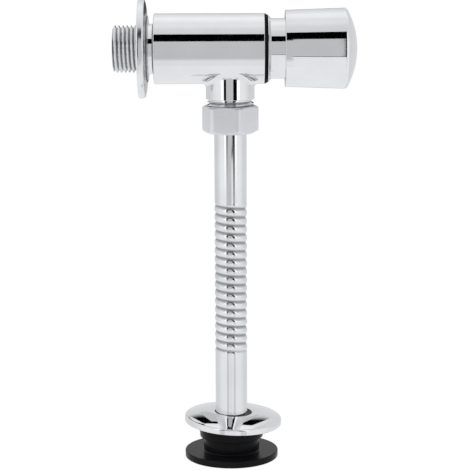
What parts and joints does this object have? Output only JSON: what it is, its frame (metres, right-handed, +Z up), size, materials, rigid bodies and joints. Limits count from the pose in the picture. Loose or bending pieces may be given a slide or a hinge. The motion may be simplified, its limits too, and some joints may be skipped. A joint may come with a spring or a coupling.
{
  "type": "urinal flush valve",
  "caption": "Push-button urinal flush valve: chromed tee body with threaded wall inlet, sprung knob, union nut, ribbed flush tube, loose cover plates and rubber connector.",
  "frame": {"origin": "on the axis of the inlet thread, in the plane of the wall that the wall rosette lies on", "axes": "+X out of the wall along the valve to the push knob, -Z down the flush tube, +Z up"},
  "size_m": [0.1078, 0.0442, 0.2082],
  "materials": {
    "chrome": "mirror-bright chrome plating",
    "satin_chrome": "chrome plating over a machined hexagon, slightly soft",
    "tube_chrome": "bright chrome plating on drawn copper tube",
    "brass": "machined brass",
    "stainless": "stainless steel",
    "seal_rubber": "black nitrile rubber",
    "spud_rubber": "black moulded rubber, slightly glossy",
    "fibre": "pressed fibre sealing washer",
    "acetal": "moulded acetal"
  },
  "bodies": {
    "valve": {"valve_body": "chrome", "inlet_strainer": "stainless", "strainer_ring": "stainless", "seat_bush": "brass", "seat_o_ring": "seal_rubber", "bonnet": "chrome", "bonnet_gasket": "seal_rubber", "bonnet_o_ring": "seal_rubber", "stem_o_ring": "seal_rubber", "gland_nut": "brass", "return_spring": "stainless", "outlet_gasket": "fibre", "flush_tube": "tube_chrome", "tube_collar": "tube_chrome", "spud_rubber": "spud_rubber"},
    "wall_rosette": {"wall_rosette": "chrome"},
    "piston": {"piston": "acetal", "piston_cup": "seal_rubber", "bleed_pin": "stainless"},
    "button": {"stem": "brass", "seal_backing": "brass", "main_seal": "seal_rubber", "seal_washer": "brass", "seal_screw": "stainless", "stem_circlip": "stainless", "button_cap": "chrome", "button_core": "acetal", "button_screw": "stainless"},
    "slip_ring": {"slip_ring": "brass"},
    "union_nut": {"union_nut": "satin_chrome"},
    "tube_rosette": {"tube_rosette": "chrome"}
  },
  "joints": [
    {"name": "wall_rosette_slide", "type": "slide", "parent": "valve", "child": "wall_rosette", "axis": [-1, 0, 0], "range_m": [0, 0.008]},
    {"name": "button_push", "type": "slide", "parent": "valve", "child": "piston", "axis": [-1, 0, 0], "range_m": [0, 0.006], "stiffness_N_per_m": 800, "springref_m": -0.019, "deforming": ["return_spring"]},
    {"name": "button_turn", "type": "hinge", "parent": "piston", "child": "button", "pos_m": [0, 0, 0], "axis": [1, 0, 0], "continuous": true},
    {"name": "union_nut_drop", "type": "slide", "parent": "valve", "child": "slip_ring", "axis": [0, 0, -1], "range_m": [0, 0.0091]},
    {"name": "union_nut_turn", "type": "hinge", "parent": "slip_ring", "child": "union_nut", "pos_m": [0.0404, 0, 0], "axis": [0, 0, -1], "range_deg": [0, 1800]},
    {"name": "tube_rosette_slide", "type": "slide", "parent": "valve", "child": "tube_rosette", "axis": [0, 0, 1], "range_m": [0, 0.11]}
  ],
  "couplings": [
    {"joint": "union_nut_drop", "follows": "union_nut_turn", "m_per_rad": 0.00028875}
  ]
}
